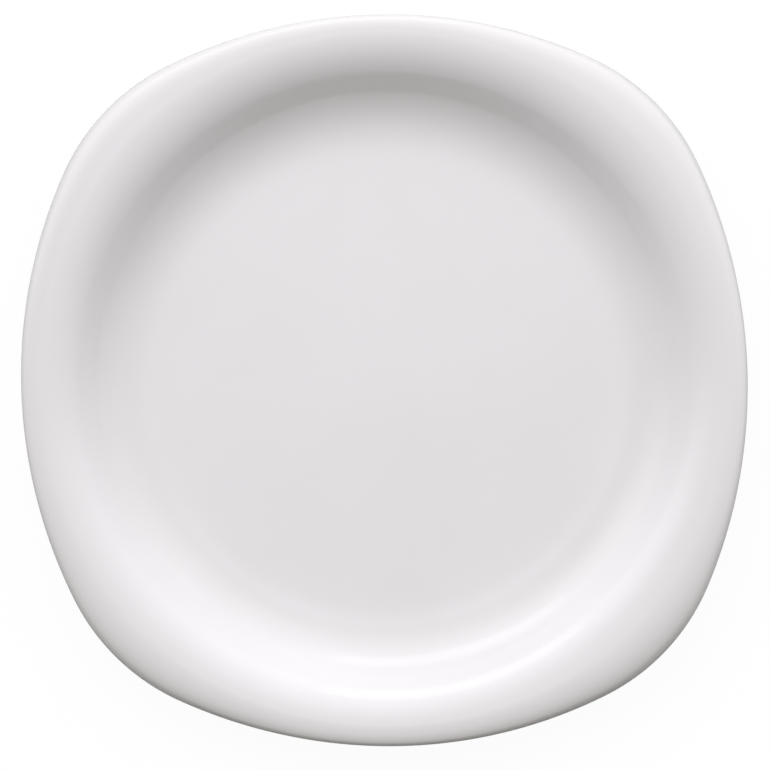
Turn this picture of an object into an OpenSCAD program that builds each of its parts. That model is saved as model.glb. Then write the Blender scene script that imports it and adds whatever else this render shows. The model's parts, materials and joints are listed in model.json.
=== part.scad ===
// Rounded-square porcelain plate with a round well, on a bare foot ring.
// The clay body and its two coats of glaze are separate closed solids that meet face to face.
// Each one is a stack of rings, and every ring has one point on each of the same rays from the centre.
// Units are millimetres. The origin is on the table, under the middle of the plate.

/* [Outline] */
// Width across two opposite sides
plate_w = 270; // [240:1:300]
// Radius of the long arc that makes a side
side_r = 188; // [170:1:250]
// Radius of the arc that rounds a corner
corner_r = 79.5; // [50:0.5:100]

/* [Well and rim] */
// Height from the table to the crest of the rim
plate_h = 25; // [23:0.2:30]
// Radius of the hollow curve between the floor and the wall
cove_r = 27.5; // [20:0.5:36]
// Steepness of the wall, in degrees from level
wall_angle = 40; // [34:1:45]
// Run of the shoulder from the top of the wall to the crest, at mid-side
shoulder_w = 15.8; // [12:0.1:20]
// Run of the lip from the crest out to the edge, at mid-side
lip_w = 5.5; // [4:0.1:9]
// Fall of the lip from the crest to the widest point of the edge, at mid-side
lip_drop = 2.8; // [1.8:0.1:4]
// Radius of the roll under the edge
lip_r = 2.4; // [1.5:0.1:3]
// Share of a corner's extra reach that goes to the lip, with the rest in the shoulder
lip_share = 0.7; // [0.3:0.05:1]
// Extra fall of the lip for each millimetre of a corner's extra reach
droop_share = 0.36; // [0:0.02:0.5]

/* [Thickness] */
// Thickness of the floor and the wall, glaze included
body_t = 4.8; // [4:0.1:6]
// Thickness of the glaze
glaze_t = 0.3; // [0.2:0.05:0.5]

/* [Foot] */
// Height of the foot ring under the floor
foot_h = 3; // [2.4:0.1:5]
// Width of the foot ring
foot_w = 5; // [3:0.1:7]
// Distance from the edge of the well's floor in to the outside of the foot
foot_inset = 3.2; // [2:0.1:8]
// Radius of the hollow curves at the root of the foot
foot_fillet_r = 1.5; // [0.8:0.1:1.6]
// Bevel on both edges of the tread
foot_bevel = 0.5; // [0.3:0.1:0.9]
// Height above the table at which the glaze begins
glaze_line_h = 0.9; // [0.6:0.05:0.9]

/* [Hidden] */

// How finely each curve is drawn
rays = 80;
cove_steps = 5;
shoulder_steps = 4;
lip_steps = 5;
roll_steps = 3;
under_steps = 4;
under_cove_steps = 4;
fillet_steps = 3;

// The roll under the edge turns past level, and the underside leaves it on this slope
roll_angle = 120;
// Pull of the underside's two end slopes, as a share of its run
under_pull_share = 0.35;

// The outline is four side arcs and four corner arcs, and each meets the next without a corner
half_w = plate_w / 2;
side_centre = half_w - side_r;
centre_gap = side_r - corner_r;
corner_centre = (side_centre + sqrt(2 * pow(centre_gap, 2) - pow(side_centre, 2))) / 2;
join_slope = atan2(corner_centre, corner_centre - side_centre);
join_angle = atan2(side_r * sin(join_slope), side_centre + side_r * cos(join_slope));

// Distance from the centre to the edge of the plate, on the ray at this angle
function reach(angle) =
    let (a = abs((angle + 45) % 90 - 45))
    a < join_angle
        ? side_centre * cos(a) + sqrt(pow(side_r, 2) - pow(side_centre * sin(a), 2))
        : corner_centre * (cos(a) + sin(a))
            + sqrt(pow(corner_r, 2) - pow(corner_centre * (cos(a) - sin(a)), 2));

// How much further than at mid-side the plate reaches on this ray
function extra(angle) = reach(angle) - half_w;
function crest_reach(angle) = half_w - lip_w + (1 - lip_share) * extra(angle);
function lip_fall(angle) = lip_drop + droop_share * extra(angle);

// Fixed points of the section, each as [distance from the centre, height]
floor_z = foot_h + body_t;
wall_top = [half_w - lip_w - shoulder_w, plate_h - shoulder_w * tan(wall_angle / 2)];
cove_top_z = floor_z + cove_r * (1 - cos(wall_angle));
wall_run = (wall_top.y - cove_top_z) / tan(wall_angle);
floor_r = wall_top.x - wall_run - cove_r * sin(wall_angle);
wall_normal = [-sin(wall_angle), cos(wall_angle)];
under_wall_top = wall_top - body_t * wall_normal;
foot_r = floor_r - foot_inset;
foot_in_r = foot_r - foot_w;

function quadratic(a, b, c, t) = pow(1 - t, 2) * a + 2 * t * (1 - t) * b + pow(t, 2) * c;
function cubic(a, b, c, d, t) =
    pow(1 - t, 3) * a + 3 * t * pow(1 - t, 2) * b + 3 * pow(t, 2) * (1 - t) * c + pow(t, 3) * d;

// From the edge of the floor up the cove and the wall
function cove_and_wall() = [
    for (i = [0 : cove_steps]) let (a = wall_angle * i / cove_steps)
        [floor_r + cove_r * sin(a), floor_z + cove_r * (1 - cos(a))],
    wall_top
];

// Over the shoulder to the crest
function shoulder(angle) =
    let (bend = [wall_top.x + (plate_h - wall_top.y) / tan(wall_angle), plate_h])
    [for (i = [1 : shoulder_steps])
        quadratic(wall_top, bend, [crest_reach(angle), plate_h], i / shoulder_steps)];

// Down the lip to the widest point, then round the roll under the edge
function lip(angle) =
    let (run = reach(angle) - crest_reach(angle), fall = lip_fall(angle))
    [for (i = [1 : lip_steps]) let (a = 90 * i / lip_steps)
        [crest_reach(angle) + run * sin(a), plate_h - fall * (1 - cos(a))]];
function roll(angle) = [
    for (i = [1 : roll_steps]) let (a = roll_angle * i / roll_steps)
        [reach(angle) - lip_r * (1 - cos(a)), plate_h - lip_fall(angle) - lip_r * sin(a)]
];

// Back in under the rim to the underside of the wall
function under_rim(angle) =
    let (
        start = roll(angle)[roll_steps - 1],
        pull = under_pull_share * (start.x - under_wall_top.x),
        out = start + pull * [-sin(roll_angle), -cos(roll_angle)],
        in = under_wall_top + pull * [cos(wall_angle), sin(wall_angle)]
    )
    [for (i = [1 : under_steps]) cubic(start, out, in, under_wall_top, i / under_steps)];

// Under the cove, which keeps the same thickness, to level with the floor's underside
function under_cove() = [
    for (i = [0 : under_cove_steps])
        let (a = wall_angle * (1 - i / under_cove_steps), r = cove_r + body_t)
        [floor_r + r * sin(a), floor_z + cove_r - r * cos(a)]
];

// Down the outside of the foot to the line where the glaze begins
function foot_outside() = [
    for (i = [0 : fillet_steps]) let (a = 90 * i / fillet_steps)
        [foot_r + foot_fillet_r * (1 - sin(a)), foot_h - foot_fillet_r * (1 - cos(a))],
    [foot_r, glaze_line_h]
];

// From the glaze line up the inside of the foot to the plate's base
function foot_inside() = [
    [foot_in_r, glaze_line_h],
    for (i = [0 : fillet_steps]) let (a = 90 * i / fillet_steps)
        [foot_in_r - foot_fillet_r * (1 - cos(a)), foot_h - foot_fillet_r * (1 - sin(a))]
];

// The glazed section outside the foot, and the same section inside it
function outer_section(angle) = concat(
    cove_and_wall(), shoulder(angle), lip(angle), roll(angle), under_rim(angle), under_cove(), foot_outside());
function base_section() = foot_inside();

// The clay's surface under a glazed section
function under_glaze(section) = [
    for (i = [0 : len(section) - 1])
        let (
            along = section[min(i + 1, len(section) - 1)] - section[max(i - 1, 0)],
            inward = [along.y, -along.x] / norm(along)
        )
        section[i] + glaze_t * inward
];

// The bare foot, from one glaze line to the other
function bare_foot() = [
    [foot_r - glaze_t, foot_bevel],
    [foot_r - glaze_t - foot_bevel, 0],
    [foot_in_r + glaze_t + foot_bevel, 0],
    [foot_in_r + glaze_t, foot_bevel]
];

// The rounded end of a coat of glaze, on a foot face at radius r
function glaze_end(r, side) = [[r - side * glaze_t / 2, glaze_line_h - glaze_t / 2]];

function reversed(list) = [for (i = [len(list) - 1 : -1 : 0]) list[i]];

function body_section(angle) =
    concat(under_glaze(outer_section(angle)), bare_foot(), under_glaze(base_section()));
function glaze_section(angle) =
    let (outer = outer_section(angle))
    concat(outer, glaze_end(foot_r, 1), reversed(under_glaze(outer)));
function base_glaze_section(angle) =
    let (outer = base_section())
    concat(reversed(under_glaze(outer)), glaze_end(foot_in_r, -1), outer);

// A closed solid from one section per ray, with a flat cap inside its first and last rings.
// Each four-sided patch is split along its shorter diagonal, so two solids that share a surface match.
module ring_stack(sections) {
    rings = len(sections[0]);
    points = [
        for (i = [0 : rings - 1]) for (j = [0 : rays - 1])
            let (a = 360 * j / rays, p = sections[j][i])
            [p.x * cos(a), p.x * sin(a), p.y]
    ];
    patches = [
        for (i = [0 : rings - 2]) for (j = [0 : rays - 1])
            let (
                k = (j + 1) % rays,
                a = i * rays + j,
                b = i * rays + k,
                c = (i + 1) * rays + k,
                d = (i + 1) * rays + j
            )
            each norm(points[a] - points[c]) < norm(points[b] - points[d])
                ? [[a, b, c], [a, c, d]]
                : [[a, b, d], [b, c, d]]
    ];
    first_cap = [for (j = [rays - 1 : -1 : 0]) j];
    last_cap = [for (j = [0 : rays - 1]) (rings - 1) * rays + j];
    polyhedron(points, concat([first_cap], patches, [last_cap]), convexity = 6);
}

module porcelain_body() {
    color("ghostwhite")
        ring_stack([for (j = [0 : rays - 1]) body_section(360 * j / rays)]);
}

module glaze() {
    color("white")
        ring_stack([for (j = [0 : rays - 1]) glaze_section(360 * j / rays)]);
}

module base_glaze() {
    color("white")
        ring_stack([for (j = [0 : rays - 1]) base_glaze_section(360 * j / rays)]);
}

porcelain_body();
glaze();
base_glaze();
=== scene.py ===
"""Dresses the rounded-square plate: smooth meshes for the clay and the glaze, their finishes and a studio."""

import json
import math

import bpy
import numpy as np
from bpy.props import FloatProperty, FloatVectorProperty, IntProperty, PointerProperty
from bpy.types import Operator, Panel, PropertyGroup
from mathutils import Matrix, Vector


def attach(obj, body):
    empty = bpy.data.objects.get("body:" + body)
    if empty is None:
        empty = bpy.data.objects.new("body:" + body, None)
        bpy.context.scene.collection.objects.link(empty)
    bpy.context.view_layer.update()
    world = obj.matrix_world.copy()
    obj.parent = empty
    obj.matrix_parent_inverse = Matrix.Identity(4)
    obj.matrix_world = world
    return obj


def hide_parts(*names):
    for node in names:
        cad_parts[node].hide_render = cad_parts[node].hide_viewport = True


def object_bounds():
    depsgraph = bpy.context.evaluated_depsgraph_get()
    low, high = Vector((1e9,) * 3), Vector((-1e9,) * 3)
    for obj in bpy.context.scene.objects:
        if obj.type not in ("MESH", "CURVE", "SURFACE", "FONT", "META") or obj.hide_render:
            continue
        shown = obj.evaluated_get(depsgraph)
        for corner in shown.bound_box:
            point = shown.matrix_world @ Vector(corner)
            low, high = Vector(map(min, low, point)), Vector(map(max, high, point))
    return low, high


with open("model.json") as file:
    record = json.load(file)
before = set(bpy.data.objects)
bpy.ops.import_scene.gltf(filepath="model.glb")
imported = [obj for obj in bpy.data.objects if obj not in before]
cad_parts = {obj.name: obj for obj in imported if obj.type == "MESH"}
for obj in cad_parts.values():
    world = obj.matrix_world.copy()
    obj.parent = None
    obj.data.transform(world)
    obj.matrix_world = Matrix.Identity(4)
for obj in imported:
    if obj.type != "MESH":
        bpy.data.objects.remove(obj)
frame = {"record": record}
CAD_LOW, CAD_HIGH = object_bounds()
SLOT_COLOURS = {entry["slot"]: tuple(entry["base_color"]) for entry in frame["record"]["materials"]}

bl_info = {
    "name": "Rounded-square plate",
    "version": (1, 0, 0),
    "blender": (4, 5, 0),
    "location": "3D View > Sidebar > Plate",
    "description": "Builds a glazed porcelain plate with a round well and a rolled rim, in a small studio",
    "category": "Add Mesh",
}

MM = 0.001
WHITE = (1, 1, 1)

# The photograph's frame in pixels, and where the plate is in it
PHOTO_SIDE = 770
PLATE_PIXELS = 729.3
PLATE_CENTRE_PIXELS = (385.4, 380.4)

# How hollow each point is sets the pooled and the thin glaze, and the painted shade in hollows and on edges.
# It is kept on the mesh: 1 in a tight hollow, 0 on a tight edge, and this on the flat
DEPTH_NAME = "hollowness"
FLAT_DEPTH = 0.5
# The radius of a tight bend, and how far along the surface the glaze evens out
TIGHT_R = 20 * MM
GLAZE_FLOW = 2.5 * MM
# Edges that turn by more than this are drawn sharp
SHARP_ANGLE = math.radians(50)

# The value about which a noise strays
NOISE_MIDDLE = 0.5
# Clouds in the glaze, and how much they shift the edges of the pooled glaze and of the thin glaze, both
# partly painted shade
CLOUD_SIZE = 45 * MM
CLOUD_STRENGTH = 0.25
POOLED_AND_SHADE_SHIFT = 0.3
THIN_AND_SHADE_SHIFT = 0.04
# Rare dark specks under the glaze, with their faint edge and dark middle as shares of the spacing
SPECK_SPACING = 16 * MM
SPECK_EDGE = 0.016
SPECK_MIDDLE = 0.006
SPECK_STRENGTH = 0.35
SPECK_COLOUR = (0.30, 0.25, 0.20)
# Each cell of that spacing draws a number from 0 to 1, and gets its speck as the draw passes this range
SPECK_DRAWS = (0.86, 0.9)
# The glaze's gloss, and its ripple with the finer orange peel on it
GLAZE_IOR = 1.46
GLOSS_SIZE = 20 * MM
GLOSS_SPREAD = 0.035
RIPPLE_SIZE = 11 * MM
RIPPLE_SHARE = 0.75
ORANGE_PEEL_SIZE = 2.5 * MM
GLAZE_RELIEF = 0.012 * MM

# The grain of the bare clay, and the scorched blotches on it
GRAIN_SIZE = 0.6 * MM
GRAIN_RELIEF = 0.08 * MM
GRAIN_STRENGTH = 0.35
SCORCH_SIZE = 12 * MM
SCORCH_STRENGTH = 0.5
CLAY_ROUGHNESS = 0.68
CLAY_ROUGHNESS_SPREAD = 0.2

# The floor's side and the size of the patches in its paper, in metres
FLOOR_SIDE = 8
PATCH_SIZE = 0.4
PATCH_STRENGTH = 0.2
PAPER_GREY = 0.4
PATCH_GREY = 0.36
# The floor's glow, and how much of it the camera and the gloss see
FLOOR_GLOW = 1.12
GLOW_TO_CAMERA = 0.85
GLOW_TO_GLOSS = 0.2

# What the gloss sees of the surround low down: dark ahead and behind, and paler at the sides
LOW_GLOW = 0.15
SIDE_GLOW = 0.55
# The rise over which that band turns white, as sines of the elevation
BAND_TOP = (0.27, 0.33)


def length(title, about, default):
    """A size in metres."""
    return FloatProperty(name=title, description=about, default=default, min=0, unit="LENGTH", precision=5)


def share(title, about, default):
    """A number from 0 to 1."""
    return FloatProperty(name=title, description=about, default=default, min=0, max=1, subtype="FACTOR")


def angle(title, about, degrees):
    """An angle, given in degrees and kept in radians."""
    return FloatProperty(name=title, description=about, default=math.radians(degrees), subtype="ANGLE")


def amount(title, about, default):
    """A number of 0 or more."""
    return FloatProperty(name=title, description=about, default=default, min=0)


def colour(title, about, default):
    """A linear colour."""
    return FloatVectorProperty(
        name=title, description=about, default=default, min=0, max=1, size=3, subtype="COLOR"
    )


class PlateShape(PropertyGroup):
    """The sizes that the plate's solids have, and then how its glaze and the firing soften and warp them."""

    width: length("Width", "Width across two opposite sides", CAD_HIGH.x - CAD_LOW.x)
    height: length("Height", "Height of the crest of the rim above the table", CAD_HIGH.z - CAD_LOW.z)
    side_r: length("Side radius", "Radius of the long arc that makes a side", 188 * MM)
    corner_r: length("Corner radius", "Radius of the arc that rounds a corner", 79.5 * MM)
    cove_r: length("Cove radius", "Radius of the hollow curve between the floor and the wall", 27.5 * MM)
    wall_angle: angle("Wall angle", "Steepness of the wall, from level", 40)
    shoulder_w: length("Shoulder", "Run from the top of the wall to the crest, at mid-side", 15.8 * MM)
    lip_w: length("Lip width", "Run from the crest out to the edge, at mid-side", 5.5 * MM)
    lip_drop: length("Lip drop", "Fall from the crest to the widest point, at mid-side", 2.8 * MM)
    lip_r: length("Lip roll", "Radius of the roll under the edge", 2.4 * MM)
    roll_angle: angle("Roll angle", "How far the roll under the edge turns", 120)
    lip_share: share("Corner reach in the lip", "Share of a corner's extra reach that goes to the lip", 0.7)
    droop_share: share("Corner droop", "Extra fall of the lip for a corner's extra reach", 0.36)
    body_t: length("Thickness", "Thickness of the floor and the wall, glaze included", 4.8 * MM)
    glaze_t: length("Glaze", "Thickness of the glaze", 0.3 * MM)
    foot_h: length("Foot height", "Height of the foot ring under the floor", 3 * MM)
    foot_w: length("Foot width", "Width of the foot ring", 5 * MM)
    foot_inset: length("Foot inset", "From the edge of the well's floor in to the foot", 3.2 * MM)
    foot_fillet_r: length("Foot fillet", "Radius of the curves at the root of the foot", 1.5 * MM)
    foot_bevel: length("Foot bevel", "Bevel on both edges of the tread", 0.5 * MM)
    glaze_line_h: length("Glaze line", "Height above the table at which the glaze begins", 0.9 * MM)
    soften_floor: length("Floor softening", "How far the edge of the floor runs into the cove", 4.5 * MM)
    soften: length("Softening", "How far the wall and the shoulder run into each other", 1.4 * MM)
    soften_edge: length("Edge softening", "The same at the edge of the rim", 0.35 * MM)
    waver: length("Glaze line waver", "How far the wiped glaze line strays up and down", 0.14 * MM)
    lip_fullness: amount("Lip fullness", "2 makes the lip's bend an ellipse, and more makes it squarer", 2.3)
    oval: length("Oval", "How far firing has drawn the outline into an oval", 0.65 * MM)
    trefoil: length("Trefoil", "How far firing has drawn the outline into three lobes", 0.35 * MM)
    rays: IntProperty(name="Rays", description="Points round each ring", default=480, min=80)


class PlateFinish(PropertyGroup):
    """The colours of the glaze and of the bare clay."""

    glaze: colour("Glaze", "Colour of the glazed porcelain", SLOT_COLOURS["glaze"])
    # Darker and warmer than the glaze: partly glaze pooled in the hollows, partly painted shade there. The
    # clouds use it too.
    pooled_and_shade: colour("Pooled glaze", "Colour where the glaze has run together", (0.803, 0.781, 0.776))
    # A little darker and warmer than the glaze: partly glaze drawn thin on the edges, partly painted shade on
    # them, the lip's roll most of all.
    thin_and_shade: colour("Thin glaze", "Colour where the glaze has drawn off an edge", (0.828, 0.805, 0.796))
    gloss: share("Glaze roughness", "Roughness of the glaze", 0.06)
    clay: colour("Bare clay", "Colour of the fired clay", SLOT_COLOURS["biscuit"])
    scorched: colour("Scorched clay", "Colour of the clay where the kiln has marked it", (0.56, 0.50, 0.43))


class PlateStudio(PropertyGroup):
    """The camera and the lamps. A brightness of 1 is white."""

    camera_h: length("Camera height", "Height of the camera above the table", 2.4)
    roll: angle("Camera roll", "Turn of the camera about its line of sight", -1.16)
    key_level: amount("Key level", "Brightness at the middle of the broad key light", 2.605)
    side_level: amount("Side level", "Brightness at the middle of the broad side light", 1.505)
    window_level: amount("Window level", "Brightness of the large soft box that the glaze mirrors", 1.35)
    strip_level: amount("Strip level", "Brightness of the narrow strip that the glaze mirrors", 1.3)
    overhead_level: amount("Overhead level", "Brightness of the soft box over the well", 0.8)
    lamp_colour: colour("Lamp colour", "Colour of the lamps", (0.948, 0.957, 1.0))
    ambient: amount("Ambient", "Strength of the light from all round", 0.107)
    ambient_colour: colour("Ambient colour", "Colour of the light from all round", (1.0, 0.965, 0.76))


class Wire:
    """A shader socket that Python's own operators work on. Each one adds a Math node."""

    def __init__(self, graph, socket):
        self.graph = graph
        self.socket = socket

    def math(self, operation, *others):
        """This value and the others through one Math node."""
        values = dict(enumerate((self, *others)))
        return self.graph.add("ShaderNodeMath", {"operation": operation}, values)

    def flipped(self, operation, other):
        """The other value first, and then this one."""
        return self.graph.add("ShaderNodeMath", {"operation": operation}, {0: other, 1: self})

    def __add__(self, other):
        return self.math("ADD", other)

    def __sub__(self, other):
        return self.math("SUBTRACT", other)

    def __mul__(self, other):
        return self.math("MULTIPLY", other)

    def __pow__(self, other):
        return self.math("POWER", other)

    def __abs__(self):
        return self.math("ABSOLUTE")

    def __rsub__(self, other):
        return self.flipped("SUBTRACT", other)

    def __rpow__(self, other):
        return self.flipped("POWER", other)

    __radd__ = __add__
    __rmul__ = __mul__


class Graph:
    """The nodes of one material, of a lamp or of the world."""

    def __init__(self, owner):
        owner.use_nodes = True
        self.tree = owner.node_tree
        self.tree.nodes.clear()

    def add(self, kind, settings=None, inputs=None, output=0):
        """Adds a node, sets it up, fills its sockets with values or links, and returns one output."""
        node = self.tree.nodes.new(kind)
        for key, value in (settings or {}).items():
            setattr(node, key, value)
        for key, value in (inputs or {}).items():
            socket = self.socket(node.inputs, key)
            if isinstance(value, Wire):
                self.tree.links.new(value.socket, socket)
            else:
                socket.default_value = value
        return Wire(self, self.socket(node.outputs, output)) if node.outputs else None

    @staticmethod
    def socket(sockets, key):
        """The socket in use that has this name or number."""
        if isinstance(key, int):
            return sockets[key]
        return next(s for s in sockets if s.enabled and s.name == key)

    def mix(self, factor, first, second, kind="RGBA"):
        """The first colour where the factor is 0 and the second where it is 1, or numbers with FLOAT."""
        inputs = {"Factor": factor, "A": first, "B": second}
        return self.add("ShaderNodeMix", {"data_type": kind}, inputs, output="Result")

    def noise(self, place, size, detail=2.0, roughness=0.5):
        """Noise whose blotches are about this size in metres."""
        inputs = {"Vector": place, "Scale": 1 / size, "Detail": detail, "Roughness": roughness}
        return self.add("ShaderNodeTexNoise", None, inputs)

    def mask(self, value, low, high):
        """0 at low, 1 at high, and smooth between. Low may be the larger one."""
        inputs = {"Value": value, "From Min": low, "From Max": high}
        return self.add("ShaderNodeMapRange", {"interpolation_type": "SMOOTHSTEP"}, inputs)

    def bump(self, height, depth):
        """A normal for a relief this deep in metres."""
        return self.add("ShaderNodeBump", None, {"Height": height, "Distance": depth, "Strength": 1.0})

    def part(self, vector, axis):
        """The X, Y or Z of a vector."""
        return self.add("ShaderNodeSeparateXYZ", None, {"Vector": vector}, output=axis)

    def ray(self, kind):
        """1 on a ray of this kind, and 0 on the rest."""
        return self.add("ShaderNodeLightPath", output=kind)


def solid_colour(value):
    """A colour socket's four numbers."""
    return (*value, 1.0)


def grey(value):
    """The same for a grey of this value."""
    return solid_colour((value, value, value))


def glaze_material(finish):
    """Clear gloss glaze on white porcelain with a faint ripple. Its hollows and edges are darker and warmer,
    partly as pooled and thin glaze and partly as painted shade.
    """
    material = bpy.data.materials.new("porcelain_glaze")
    graph = Graph(material)
    place = graph.add("ShaderNodeTexCoord", output="Object")
    depth = graph.add("ShaderNodeAttribute", {"attribute_name": DEPTH_NAME}, output="Fac")
    clouds = graph.noise(place, CLOUD_SIZE, detail=3)
    shift = clouds - NOISE_MIDDLE
    # The hollows take a darker, warmer colour: partly glaze pooled there, partly painted shade.
    pooled_and_shade = graph.mask(depth + shift * POOLED_AND_SHADE_SHIFT, low=FLAT_DEPTH, high=1)
    # The edges, the lip's roll most of all, take a little darker, warmer colour: partly thin glaze, partly
    # painted shade.
    thin_and_shade = graph.mask(FLAT_DEPTH - depth + shift * THIN_AND_SHADE_SHIFT, low=0.3, high=FLAT_DEPTH)
    cloudy = graph.mask(clouds, low=0.35, high=0.75) * CLOUD_STRENGTH
    base = graph.mix(pooled_and_shade, solid_colour(finish.glaze), solid_colour(finish.pooled_and_shade))
    base = graph.mix(thin_and_shade, base, solid_colour(finish.thin_and_shade))
    base = graph.mix(cloudy, base, solid_colour(finish.pooled_and_shade))
    base = graph.mix(speck_mask(graph, place) * SPECK_STRENGTH, base, solid_colour(SPECK_COLOUR))
    gloss = (graph.noise(place, GLOSS_SIZE) - NOISE_MIDDLE) * GLOSS_SPREAD + finish.gloss
    ripple = graph.noise(place, RIPPLE_SIZE, detail=1)
    orange_peel = graph.noise(place, ORANGE_PEEL_SIZE, detail=1)
    relief = ripple * RIPPLE_SHARE + orange_peel * (1 - RIPPLE_SHARE)
    surface = {
        "Base Color": base,
        "Roughness": gloss,
        "IOR": GLAZE_IOR,
        "Normal": graph.bump(relief, GLAZE_RELIEF),
    }
    shader = graph.add("ShaderNodeBsdfPrincipled", None, surface)
    graph.add("ShaderNodeOutputMaterial", None, {"Surface": shader})
    return material


def speck_mask(graph, place):
    """Round specks, one at most in each cell, and only in the few cells that draw a high number."""
    cells = {"Vector": place, "Scale": 1 / SPECK_SPACING}
    distance = graph.add("ShaderNodeTexVoronoi", None, cells, output="Distance")
    colours = graph.add("ShaderNodeTexVoronoi", None, cells, output="Color")
    draw = graph.add("ShaderNodeSeparateColor", None, {"Color": colours})
    return graph.mask(distance, SPECK_EDGE, SPECK_MIDDLE) * graph.mask(draw, *SPECK_DRAWS)


def clay_material(finish):
    """Bare fired clay, matte and fine-grained, a little scorched where it stood in the kiln."""
    material = bpy.data.materials.new("bare_clay")
    graph = Graph(material)
    place = graph.add("ShaderNodeTexCoord", output="Object")
    grain = graph.noise(place, GRAIN_SIZE, detail=4, roughness=0.7)
    scorched = graph.mask(graph.noise(place, SCORCH_SIZE, detail=3), low=0.5, high=0.75)
    dark_grain = graph.mask(grain, low=0.62, high=0.78)
    base = graph.mix(scorched * SCORCH_STRENGTH, solid_colour(finish.clay), solid_colour(finish.scorched))
    base = graph.mix(dark_grain * GRAIN_STRENGTH, base, solid_colour(finish.scorched))
    surface = {
        "Base Color": base,
        "Roughness": grain * CLAY_ROUGHNESS_SPREAD + CLAY_ROUGHNESS,
        "Normal": graph.bump(grain, GRAIN_RELIEF),
    }
    shader = graph.add("ShaderNodeBsdfPrincipled", None, surface)
    graph.add("ShaderNodeOutputMaterial", None, {"Surface": shader})
    return material


def floor_material():
    """Matte paper that keeps the plate's shadow, with a glow that makes it near white to the camera."""
    material = bpy.data.materials.new("pale_floor")
    graph = Graph(material)
    place = graph.add("ShaderNodeTexCoord", output="Object")
    patches = graph.noise(place, PATCH_SIZE) * PATCH_STRENGTH
    paper = graph.mix(patches, grey(PAPER_GREY), grey(PATCH_GREY))
    matte = {"Base Color": paper, "Roughness": 1, "Specular IOR Level": 0}
    lit = graph.add("ShaderNodeBsdfPrincipled", None, matte)
    glow = graph.add("ShaderNodeEmission", None, {"Color": solid_colour(WHITE), "Strength": FLOOR_GLOW})
    gloss = graph.ray("Is Glossy Ray") + graph.ray("Is Transmission Ray")
    glowing = graph.ray("Is Camera Ray") * GLOW_TO_CAMERA + gloss * GLOW_TO_GLOSS
    mixed = graph.add("ShaderNodeMixShader", None, {0: glowing, 1: lit, 2: glow})
    graph.add("ShaderNodeOutputMaterial", None, {"Surface": mixed})
    return material


def blurred(values, path, widths):
    """Each of the values along a path becomes an average of its neighbours, as far off as its width says."""
    along = np.concatenate(((0,), np.cumsum(np.hypot(*np.diff(path, axis=0).T))))
    apart = (along[:, None] - along[None, :]) / widths[:, None]
    weights = np.exp(-0.5 * apart**2) * np.gradient(along)[None, :]
    weights /= weights.sum(axis=1, keepdims=True)
    return np.einsum("ij,rj...->ri...", weights, values)


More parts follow.
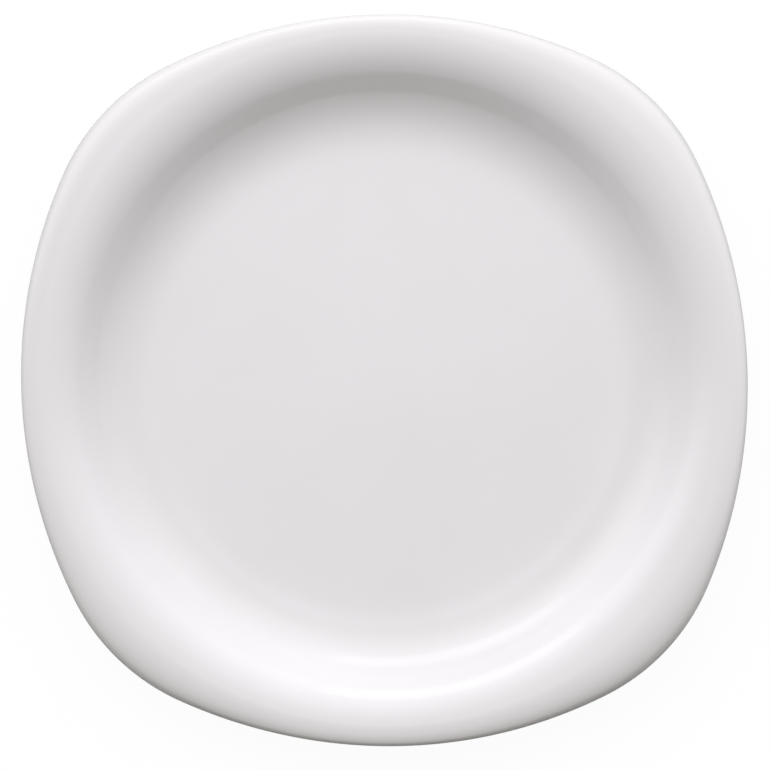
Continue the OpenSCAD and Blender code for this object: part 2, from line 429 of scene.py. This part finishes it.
class Section:
    """The plate's section on every ray from the centre.

    Each curve is an array with a row of points for each ray. A point is [distance from the centre, height].
    """

    # How many steps each stretch takes
    FLOOR_STEPS = 22
    COVE_STEPS = 28
    WALL_STEPS = 6
    SHOULDER_STEPS = 26
    LIP_STEPS = 26
    ROLL_STEPS = 20
    UNDER_STEPS = 26
    FILLET_STEPS = 9
    FACE_STEPS = 4
    BEAD_STEPS = 6

    # Pull of the underside's two end slopes, as a share of its run
    UNDER_PULL_SHARE = 0.35
    # Direction in which firing has drawn the outline in, while it has let it out at right angles
    OVAL_TURN = math.radians(19.5)
    # Waves in the wiped glaze line, each as its count round the foot, its start and its share of the waver
    GLAZE_LINE_WAVES = ((3, 0.9, 0.5), (7, 2.1, 0.3), (13, 4.4, 0.2), (29, 1.7, 0.12), (53, 0.3, 0.08))
    # How far those waves are shifted on the inside of the foot
    INNER_SHIFT = 2.6
    # The softening at the crest, as a share of the shoulder's
    CREST_SOFTENING = 0.7
    # Where inside the floor's edge its softening sets in, and over what run, in multiples of its full width
    SOFTENING_START = 5
    SOFTENING_RUN = 3

    def __init__(self, shape):
        self.shape = shape
        self.angles = np.arange(shape.rays) * (2 * math.pi / shape.rays)
        self.half_w = shape.width / 2
        self.reach = self.outline() + self.warp()
        extra = self.reach - self.half_w
        self.crest = self.half_w - shape.lip_w + (1 - shape.lip_share) * extra
        self.fall = shape.lip_drop + shape.droop_share * extra
        self.floor_z = shape.foot_h + shape.body_t
        sine, cosine = math.sin(shape.wall_angle), math.cos(shape.wall_angle)
        self.wall_top = np.array((
            self.half_w - shape.lip_w - shape.shoulder_w,
            shape.height - shape.shoulder_w * math.tan(shape.wall_angle / 2),
        ))
        cove_top_z = self.floor_z + shape.cove_r * (1 - cosine)
        wall_run = (self.wall_top[1] - cove_top_z) / math.tan(shape.wall_angle)
        self.floor_r = self.wall_top[0] - wall_run - shape.cove_r * sine
        self.under_wall_top = self.wall_top - shape.body_t * np.array((-sine, cosine))
        self.foot_r = self.floor_r - shape.foot_inset
        self.foot_in_r = self.foot_r - shape.foot_w

    def outline(self):
        """Distance from the centre to the edge: four side arcs and four corner arcs that meet smoothly."""
        side_r, corner_r = self.shape.side_r, self.shape.corner_r
        side_centre = self.half_w - side_r
        gap = side_r - corner_r
        corner_centre = (side_centre + math.sqrt(2 * gap**2 - side_centre**2)) / 2
        join_slope = math.atan2(corner_centre, corner_centre - side_centre)
        join = math.atan2(side_r * math.sin(join_slope), side_centre + side_r * math.cos(join_slope))
        quarter = math.pi / 2
        turn = np.abs((self.angles + quarter / 2) % quarter - quarter / 2)
        sine, cosine = np.sin(turn), np.cos(turn)
        side = side_centre * cosine + np.sqrt(side_r**2 - (side_centre * sine) ** 2)
        across = corner_centre * (cosine - sine)
        corner = corner_centre * (cosine + sine) + np.sqrt(corner_r**2 - across**2)
        return np.where(turn < join, side, corner)

    def warp(self):
        """How far the outline strays from true after firing."""
        oval = self.shape.oval * np.cos(2 * (self.angles - self.OVAL_TURN))
        return -oval - self.shape.trefoil * np.cos(3 * self.angles)

    def curve(self, x, z):
        """One curve on every ray, from arrays that spread over rays and points."""
        size = (len(self.angles), np.broadcast(x, z).shape[-1])
        return np.stack((np.broadcast_to(x, size), np.broadcast_to(z, size)), axis=-1)

    def cove_and_wall(self):
        """From the edge of the floor up the cove and the wall."""
        radius = self.shape.cove_r
        turn = np.linspace(0, self.shape.wall_angle, self.COVE_STEPS + 1)
        cove = self.curve(self.floor_r + radius * np.sin(turn), self.floor_z + radius * (1 - np.cos(turn)))
        along = np.linspace(0, 1, self.WALL_STEPS + 1)[1:]
        start, end = cove[0, -1], self.wall_top
        wall = self.curve(start[0] + along * (end[0] - start[0]), start[1] + along * (end[1] - start[1]))
        return np.concatenate((cove, wall), axis=1)

    def shoulder(self):
        """Over the shoulder to the crest."""
        top = self.shape.height
        bend = self.wall_top[0] + (top - self.wall_top[1]) / math.tan(self.shape.wall_angle)
        along = np.linspace(0, 1, self.SHOULDER_STEPS + 1)[1:]
        from_wall, from_bend, from_crest = (1 - along) ** 2, 2 * along * (1 - along), along**2
        x = from_wall * self.wall_top[0] + from_bend * bend + from_crest * self.crest[:, None]
        z = from_wall * self.wall_top[1] + (from_bend + from_crest) * top
        return self.curve(x, z)

    def lip(self):
        """Down the lip to the widest point."""
        turn = np.linspace(0, math.pi / 2, self.LIP_STEPS + 1)[1:]
        power = 2 / self.shape.lip_fullness
        out, left = np.sin(turn) ** power, np.clip(np.cos(turn), 0, 1) ** power
        x = self.crest[:, None] + (self.reach - self.crest)[:, None] * out
        z = self.shape.height - self.fall[:, None] * (1 - left)
        return self.curve(x, z)

    def roll(self):
        """Round the roll under the edge."""
        radius = self.shape.lip_r
        turn = np.linspace(0, self.shape.roll_angle, self.ROLL_STEPS + 1)[1:]
        x = self.reach[:, None] - radius * (1 - np.cos(turn))
        z = self.shape.height - self.fall[:, None] - radius * np.sin(turn)
        return self.curve(x, z)

    def under_rim(self):
        """Back in under the rim to the underside of the wall."""
        start, end = self.roll()[:, -1:], self.under_wall_top
        pull = self.UNDER_PULL_SHARE * (start[..., :1] - end[0])
        turn, wall = self.shape.roll_angle, self.shape.wall_angle
        out = start + pull * np.array((-math.sin(turn), -math.cos(turn)))
        back = end + pull * np.array((math.cos(wall), math.sin(wall)))
        along = np.linspace(0, 1, self.UNDER_STEPS + 1)[1:, None]
        left = 1 - along
        return left**3 * start + 3 * along * left**2 * out + 3 * along**2 * left * back + along**3 * end

    def under_cove(self):
        """Under the cove to level with the floor's underside."""
        radius = self.shape.cove_r + self.shape.body_t
        turn = np.linspace(self.shape.wall_angle, 0, self.COVE_STEPS + 1)
        centre_z = self.floor_z + self.shape.cove_r
        return self.curve(self.floor_r + radius * np.sin(turn), centre_z - radius * np.cos(turn))

    def glaze_line(self, shift):
        """Height of the wiped glaze line on every ray. It strays a little, and the shift sets where."""
        waves = sum(
            size * np.sin(count * self.angles + start + shift) for count, start, size in self.GLAZE_LINE_WAVES
        )
        return (self.shape.glaze_line_h + self.shape.waver * waves)[:, None]

    def foot_face(self, radius, side, shift):
        """From the root of the foot down one face to the glaze line. Side is 1 outside and -1 inside."""
        fillet_r = self.shape.foot_fillet_r
        top = self.shape.foot_h - fillet_r
        turn = np.linspace(0, math.pi / 2, self.FILLET_STEPS + 1)
        fillet = self.curve(radius + side * fillet_r * (1 - np.sin(turn)), top + fillet_r * np.cos(turn))
        along = np.linspace(0, 1, self.FACE_STEPS + 1)[1:]
        face = self.curve(radius, top + along * (self.glaze_line(shift) - top))
        return np.concatenate((fillet, face), axis=1)

    def top_and_rim(self):
        """From the middle of the floor over the rim to the underside of the wall, with softened bends."""
        floor = (1 - np.linspace(1, 0, self.FLOOR_STEPS + 1)[1:-1] ** 2) * self.floor_r
        parts = (
            self.curve(floor, self.floor_z), self.cove_and_wall(), self.shoulder(), self.lip(),
            self.roll(), self.under_rim(),
        )
        whole = np.concatenate(parts, axis=1)
        floor_end, _, crest, edge, _, _ = np.cumsum([part.shape[1] for part in parts])
        widest, wide, narrow = self.shape.soften_floor, self.shape.soften, self.shape.soften_edge
        index = np.arange(whole.shape[1])
        places = (floor_end, floor_end + self.COVE_STEPS, crest, edge - self.LIP_STEPS / 2)
        widths = np.interp(index, places, (widest, wide, self.CREST_SOFTENING * wide, narrow))
        past_start = whole[0, :, 0] - self.floor_r + self.SOFTENING_START * widest
        growth = np.clip(past_start / (self.SOFTENING_RUN * widest), 0, 1)
        widths = np.where(index < floor_end, narrow + (widest - narrow) * growth, widths)
        return blurred(whole, whole[0], widths)

    def outer(self):
        """The outer surface of the main coat, from the middle of the well to the outer glaze line."""
        foot = self.foot_face(self.foot_r, 1, 0)
        return np.concatenate((self.top_and_rim(), self.under_cove(), foot), axis=1)

    def base(self):
        """The outer surface of the coat inside the foot, from its glaze line to the middle of the base."""
        foot = self.foot_face(self.foot_in_r, -1, self.INNER_SHIFT)[:, ::-1]
        inner = self.foot_in_r - self.shape.foot_fillet_r
        rings = np.linspace(1, 0, self.FLOOR_STEPS + 1)[1:-1] * inner
        return np.concatenate((foot, self.curve(rings, self.shape.foot_h)), axis=1)

    def under_glaze(self, surface):
        """The clay's surface under a glazed one."""
        along = np.gradient(surface, axis=1)
        inward = np.stack((along[..., 1], -along[..., 0]), axis=-1)
        inward /= np.linalg.norm(inward, axis=-1, keepdims=True)
        return surface + self.shape.glaze_t * inward

    def bead(self, outer_end, inner_end):
        """The rounded end of a coat, from its outer surface to its inner one, on a foot face."""
        turn = np.linspace(0, math.pi, self.BEAD_STEPS + 1)[1:-1, None]
        middle = (outer_end + inner_end) / 2
        arm = (outer_end - inner_end) / 2
        down = np.zeros_like(arm)
        down[..., 1] = -np.linalg.norm(arm, axis=-1)
        return middle + arm * np.cos(turn) + down * np.sin(turn)

    def bare_foot(self):
        """The bare clay from one glaze line to the other."""
        bevel, glaze_t = self.shape.foot_bevel, self.shape.glaze_t
        turn = np.linspace(0, math.pi / 2, self.FILLET_STEPS + 1)
        inset, rise = bevel * (1 - np.cos(turn)), bevel * (1 - np.sin(turn))
        outside = self.curve(self.foot_r - glaze_t - inset, rise)
        inside = self.curve(self.foot_in_r + glaze_t + inset, rise)[:, ::-1]
        return np.concatenate((outside, inside), axis=1)


def hollowness(surface):
    """How hollow each point of a surface is: more in the hollows and less on the edges. It sets the pooled
    and the thin glaze, and the painted shade on both.
    """
    along = np.diff(surface, axis=1)
    heading = np.unwrap(np.arctan2(along[..., 1], along[..., 0]), axis=1)
    steps = np.linalg.norm(along, axis=-1)
    bend = np.zeros(surface.shape[:2])
    bend[:, 1:-1] = np.diff(heading, axis=1) / ((steps[:, 1:] + steps[:, :-1]) / 2)
    bend = blurred(bend, surface[0], np.full(surface.shape[1], GLAZE_FLOW))
    return FLAT_DEPTH * (1 + np.tanh(bend * TIGHT_R))


def revolve(name, section, angles, depth=None):
    """A closed mesh from one section per ray, with one point on the axis at each end."""
    rays, rings = section.shape[:2]
    out, height = section[..., 0].T, section[..., 1].T
    points = np.stack((out * np.cos(angles), out * np.sin(angles), height), axis=-1).reshape(-1, 3)
    tips = ((0, 0, height[0].mean()), (0, 0, height[-1].mean()))
    points = np.concatenate((points, tips))
    here = np.arange(rays)
    after = (here + 1) % rays
    faces = []
    for ring in range(rings - 1):
        start, end = ring * rays, (ring + 1) * rays
        faces.extend(np.stack((start + here, end + here, end + after, start + after), axis=-1).tolist())
    last = (rings - 1) * rays
    first_tip = np.full(rays, rays * rings)
    faces.extend(np.stack((first_tip, here, after), axis=-1).tolist())
    faces.extend(np.stack((first_tip + 1, last + after, last + here), axis=-1).tolist())
    mesh = bpy.data.meshes.new(name)
    mesh.from_pydata(points.tolist(), [], faces)
    if depth is not None:
        values = np.full(len(points), FLAT_DEPTH, np.float32)
        values[: rays * rings] = depth.T.ravel()
        mesh.attributes.new(DEPTH_NAME, "FLOAT", "POINT").data.foreach_set("value", values)
    mesh.validate()
    mesh.shade_smooth()
    mesh.set_sharp_from_angle(angle=SHARP_ANGLE)
    piece = bpy.data.objects.new(name, mesh)
    bpy.context.scene.collection.objects.link(piece)
    return piece


def dress(piece, material, slot, *nodes):
    """Gives a piece its finish, hangs it from the root body and hides the solids that it stands for."""
    piece.data.materials.append(material)
    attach(piece, "root")
    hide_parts(*nodes)


def coat(name, section, outer, end):
    """A closed coat of glaze: an outer and an inner surface, and a bead where they end on the foot.

    End is 0 where the outer surface starts on the foot, and -1 where it ends there.
    """
    inner = section.under_glaze(outer)
    bead = section.bead(outer[:, [end]], inner[:, [end]])
    surfaces = (outer, bead, inner[:, ::-1])
    depths = (hollowness(outer), np.full(bead.shape[:2], FLAT_DEPTH), np.full(inner.shape[:2], FLAT_DEPTH))
    if end == 0:
        surfaces = (inner[:, ::-1], bead[:, ::-1], outer)
        depths = depths[::-1]
    depth = np.concatenate(depths, axis=1)
    return revolve(name, np.concatenate(surfaces, axis=1), section.angles, depth)


class PLATE_OT_body(Operator):
    """Makes the fired clay, which shows on the tread of the foot"""

    bl_idname = "plate.body"
    bl_label = "Porcelain body"

    def execute(self, context):
        section = Section(context.scene.plate_shape)
        top, base = section.under_glaze(section.outer()), section.under_glaze(section.base())
        whole = np.concatenate((top, section.bare_foot(), base), axis=1)
        piece = revolve("fired_clay", whole, section.angles)
        dress(piece, clay_material(context.scene.plate_finish), "biscuit", "porcelain_body")
        return {"FINISHED"}


class PLATE_OT_glaze(Operator):
    """Makes the coat of glaze over the plate and the one inside the foot"""

    bl_idname = "plate.glaze"
    bl_label = "Glaze"

    def execute(self, context):
        section = Section(context.scene.plate_shape)
        material = glaze_material(context.scene.plate_finish)
        main_coat = coat("glaze_coat", section, section.outer(), -1)
        dress(main_coat, material, "glaze", "glaze")
        base_coat = coat("base_glaze_coat", section, section.base(), 0)
        dress(base_coat, material, "glaze", "base_glaze")
        return {"FINISHED"}


def soft_lamp(
    name, brightness, tint, azimuth, elevation, distance, half_angles, fade,
    lights=True, mirrored=True, squareness=2,
):
    """A lamp that faces the plate and fades out towards its own edge.

    The half angles are half its width and height, as the plate sees them. Angles are in degrees. Squareness 2
    makes it an ellipse, and more makes it squarer. It lights what is matte, shows in the gloss, or both.
    """
    azimuth, elevation = math.radians(azimuth), math.radians(elevation)
    width, height = (2 * distance * math.tan(math.radians(half)) for half in half_angles)
    lamp = bpy.data.lights.new(name, "AREA")
    lamp.shape = "RECTANGLE"
    lamp.size = width
    lamp.size_y = height
    lamp.energy = brightness * math.pi * width * height
    lamp.color = tint
    graph = Graph(lamp)
    place = graph.add("ShaderNodeNewGeometry", output="Parametric")
    middle = 0.5
    across = abs(graph.part(place, "X") - middle)
    up = abs(graph.part(place, "Y") - middle)
    from_middle = (across**squareness + up**squareness) ** (1 / squareness)
    fading = 1 - graph.mask(from_middle, low=middle * (1 - fade), high=middle)
    glow = graph.add("ShaderNodeEmission", None, {"Strength": fading})
    graph.add("ShaderNodeOutputLight", None, {"Surface": glow})
    holder = bpy.data.objects.new(name, lamp)
    holder.visible_diffuse = lights
    holder.visible_glossy = mirrored
    out = math.cos(elevation)
    towards = Vector((out * math.cos(azimuth), out * math.sin(azimuth), math.sin(elevation)))
    holder.location = towards * distance
    holder.rotation_euler = towards.to_track_quat("Z", "Y").to_euler()
    bpy.context.scene.collection.objects.link(holder)


class PLATE_OT_stage(Operator):
    """Makes the camera, the lamps, the pale floor and the white surround"""

    bl_idname = "plate.stage"
    bl_label = "Studio"

    def execute(self, context):
        studio = context.scene.plate_studio
        self.camera(context, studio, context.scene.plate_shape)
        self.lamps(studio)
        self.floor(context)
        self.surround(context, studio)
        context.scene.view_settings.view_transform = "Standard"
        return {"FINISHED"}

    @staticmethod
    def camera(context, studio, shape):
        """Looks straight down, with the plate's edge where the photograph has it."""
        lens = bpy.data.cameras.new("camera")
        holder = bpy.data.objects.new("camera", lens)
        edge_z = shape.height - shape.lip_drop
        pixel = shape.width / PLATE_PIXELS
        frame_w = PHOTO_SIDE * pixel
        lens.lens = lens.sensor_width * (studio.camera_h - edge_z) / frame_w
        right = (PHOTO_SIDE / 2 - PLATE_CENTRE_PIXELS[0]) * pixel
        up = (PLATE_CENTRE_PIXELS[1] - PHOTO_SIDE / 2) * pixel
        holder.location = (right, up, studio.camera_h)
        holder.rotation_euler = (0, 0, studio.roll)
        context.scene.collection.objects.link(holder)
        context.scene.camera = holder

    @staticmethod
    def lamps(studio):
        """Two broad lamps that light the plate, and three smaller ones that only its gloss shows."""
        tint = studio.lamp_colour
        soft_lamp(
            "key", studio.key_level, tint,
            azimuth=134, elevation=41, distance=2.5, half_angles=(48.5, 48.5), fade=1, mirrored=False,
        )
        soft_lamp(
            "side", studio.side_level, tint,
            azimuth=47, elevation=32, distance=1.6, half_angles=(62.7, 62.7), fade=1,
        )
        soft_lamp(
            "window", studio.window_level, tint,
            azimuth=137, elevation=34, distance=2, half_angles=(38, 36), fade=0.8, lights=False,
        )
        soft_lamp(
            "strip", studio.strip_level, tint, squareness=8,
            azimuth=103, elevation=33, distance=2, half_angles=(24, 9.5), fade=0.3, lights=False,
        )
        soft_lamp(
            "overhead", studio.overhead_level, tint,
            azimuth=95, elevation=87, distance=3, half_angles=(7, 6), fade=0.9, lights=False,
        )

    @staticmethod
    def floor(context):
        """A wide pale floor at the height of the table."""
        half = FLOOR_SIDE / 2
        corners = [(-half, -half, 0), (half, -half, 0), (half, half, 0), (-half, half, 0)]
        mesh = bpy.data.meshes.new("floor")
        mesh.from_pydata(corners, [], [(0, 1, 2, 3)])
        mesh.materials.append(floor_material())
        floor = bpy.data.objects.new("floor", mesh)
        context.scene.collection.objects.link(floor)

    @staticmethod
    def surround(context, studio):
        """White to the camera, white over a darker band to the gloss, and an even warm light for the rest."""
        world = bpy.data.worlds.new("surround")
        context.scene.world = world
        graph = Graph(world)
        camera = graph.ray("Is Camera Ray")
        seen = camera + graph.ray("Is Glossy Ray") + graph.ray("Is Transmission Ray")
        direction = graph.add("ShaderNodeTexCoord", output="Generated")
        sideways = graph.part(direction, "X")
        low = sideways * sideways * SIDE_GLOW + LOW_GLOW
        mirrored = low + graph.mask(graph.part(direction, "Z"), *BAND_TOP) * (1 - low)
        shown = camera + (1 - camera) * mirrored
        strength = graph.mix(seen, studio.ambient, shown, kind="FLOAT")
        tint = graph.mix(seen, solid_colour(studio.ambient_colour), solid_colour(WHITE))
        sky = graph.add("ShaderNodeBackground", None, {"Color": tint, "Strength": strength})
        graph.add("ShaderNodeOutputWorld", None, {"Surface": sky})


class PLATE_PT_sidebar(Panel):
    """The plate's sizes, finishes and studio"""

    bl_idname = "PLATE_PT_sidebar"
    bl_label = "Plate"
    bl_space_type = "VIEW_3D"
    bl_region_type = "UI"
    bl_category = "Plate"

    def draw(self, context):
        for name in GROUPS:
            group = getattr(context.scene, name)
            box = self.layout.box()
            for key in group.__annotations__:
                box.prop(group, key)
        for operator in OPERATORS:
            self.layout.operator(operator.bl_idname)


GROUPS = {"plate_shape": PlateShape, "plate_finish": PlateFinish, "plate_studio": PlateStudio}
OPERATORS = (PLATE_OT_stage, PLATE_OT_body, PLATE_OT_glaze)


def register():
    for name, group in GROUPS.items():
        bpy.utils.register_class(group)
        setattr(bpy.types.Scene, name, PointerProperty(type=group))
    for cls in (*OPERATORS, PLATE_PT_sidebar):
        bpy.utils.register_class(cls)


def unregister():
    for cls in (*OPERATORS, PLATE_PT_sidebar):
        bpy.utils.unregister_class(cls)
    for name, group in GROUPS.items():
        delattr(bpy.types.Scene, name)
        bpy.utils.unregister_class(group)


def main():
    """Makes the studio and the plate."""
    register()
    bpy.ops.plate.stage()
    bpy.ops.plate.body()
    bpy.ops.plate.glaze()


if __name__ == "__main__":
    main()
